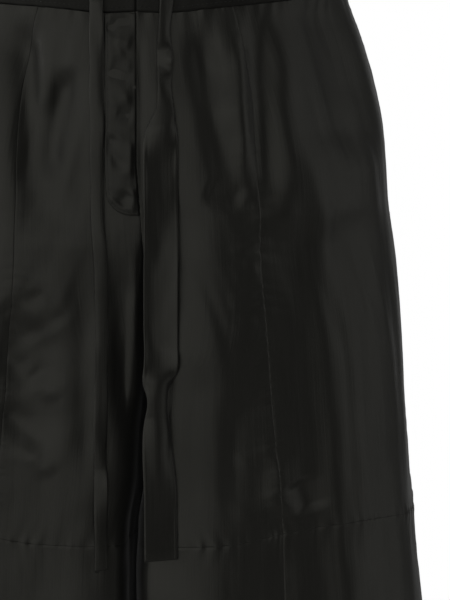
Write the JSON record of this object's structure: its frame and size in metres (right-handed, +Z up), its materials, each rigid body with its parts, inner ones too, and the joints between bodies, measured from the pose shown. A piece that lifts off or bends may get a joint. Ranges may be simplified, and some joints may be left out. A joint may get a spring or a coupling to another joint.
{
  "type": "wide-leg satin trousers with hanging ties",
  "caption": "Worn, hollow wide-leg trousers in black satin, with a fly placket, panelled legs with seams above the knee, and hanging ties at the front.",
  "frame": {"origin": "centre of the waistband's ring, where the wearer's waist holds the garment", "axes": "+Z up, -Y out of the front, +X to the wearer's left"},
  "size_m": [0.5148, 0.2804, 1.0278],
  "materials": {
    "satin": "black satin, high sheen",
    "band": "black satin, doubled",
    "placket": "black satin, puckered by its topstitching",
    "tie": "black satin ribbon"
  },
  "bodies": {
    "root": {"waistband_front_left": "band", "waistband_front_right": "band", "waistband_back": "band", "fly_placket": "placket", "tie_left": "tie", "tie_right": "tie", "front_centre_upper_left": "satin", "front_side_upper_left": "satin", "back_upper_left": "satin", "front_centre_lower_left": "satin", "front_side_lower_left": "satin", "back_lower_left": "satin", "front_centre_upper_right": "satin", "front_side_upper_right": "satin", "back_upper_right": "satin", "front_centre_lower_right": "satin", "front_side_lower_right": "satin", "back_lower_right": "satin"}
  },
  "joints": []
}
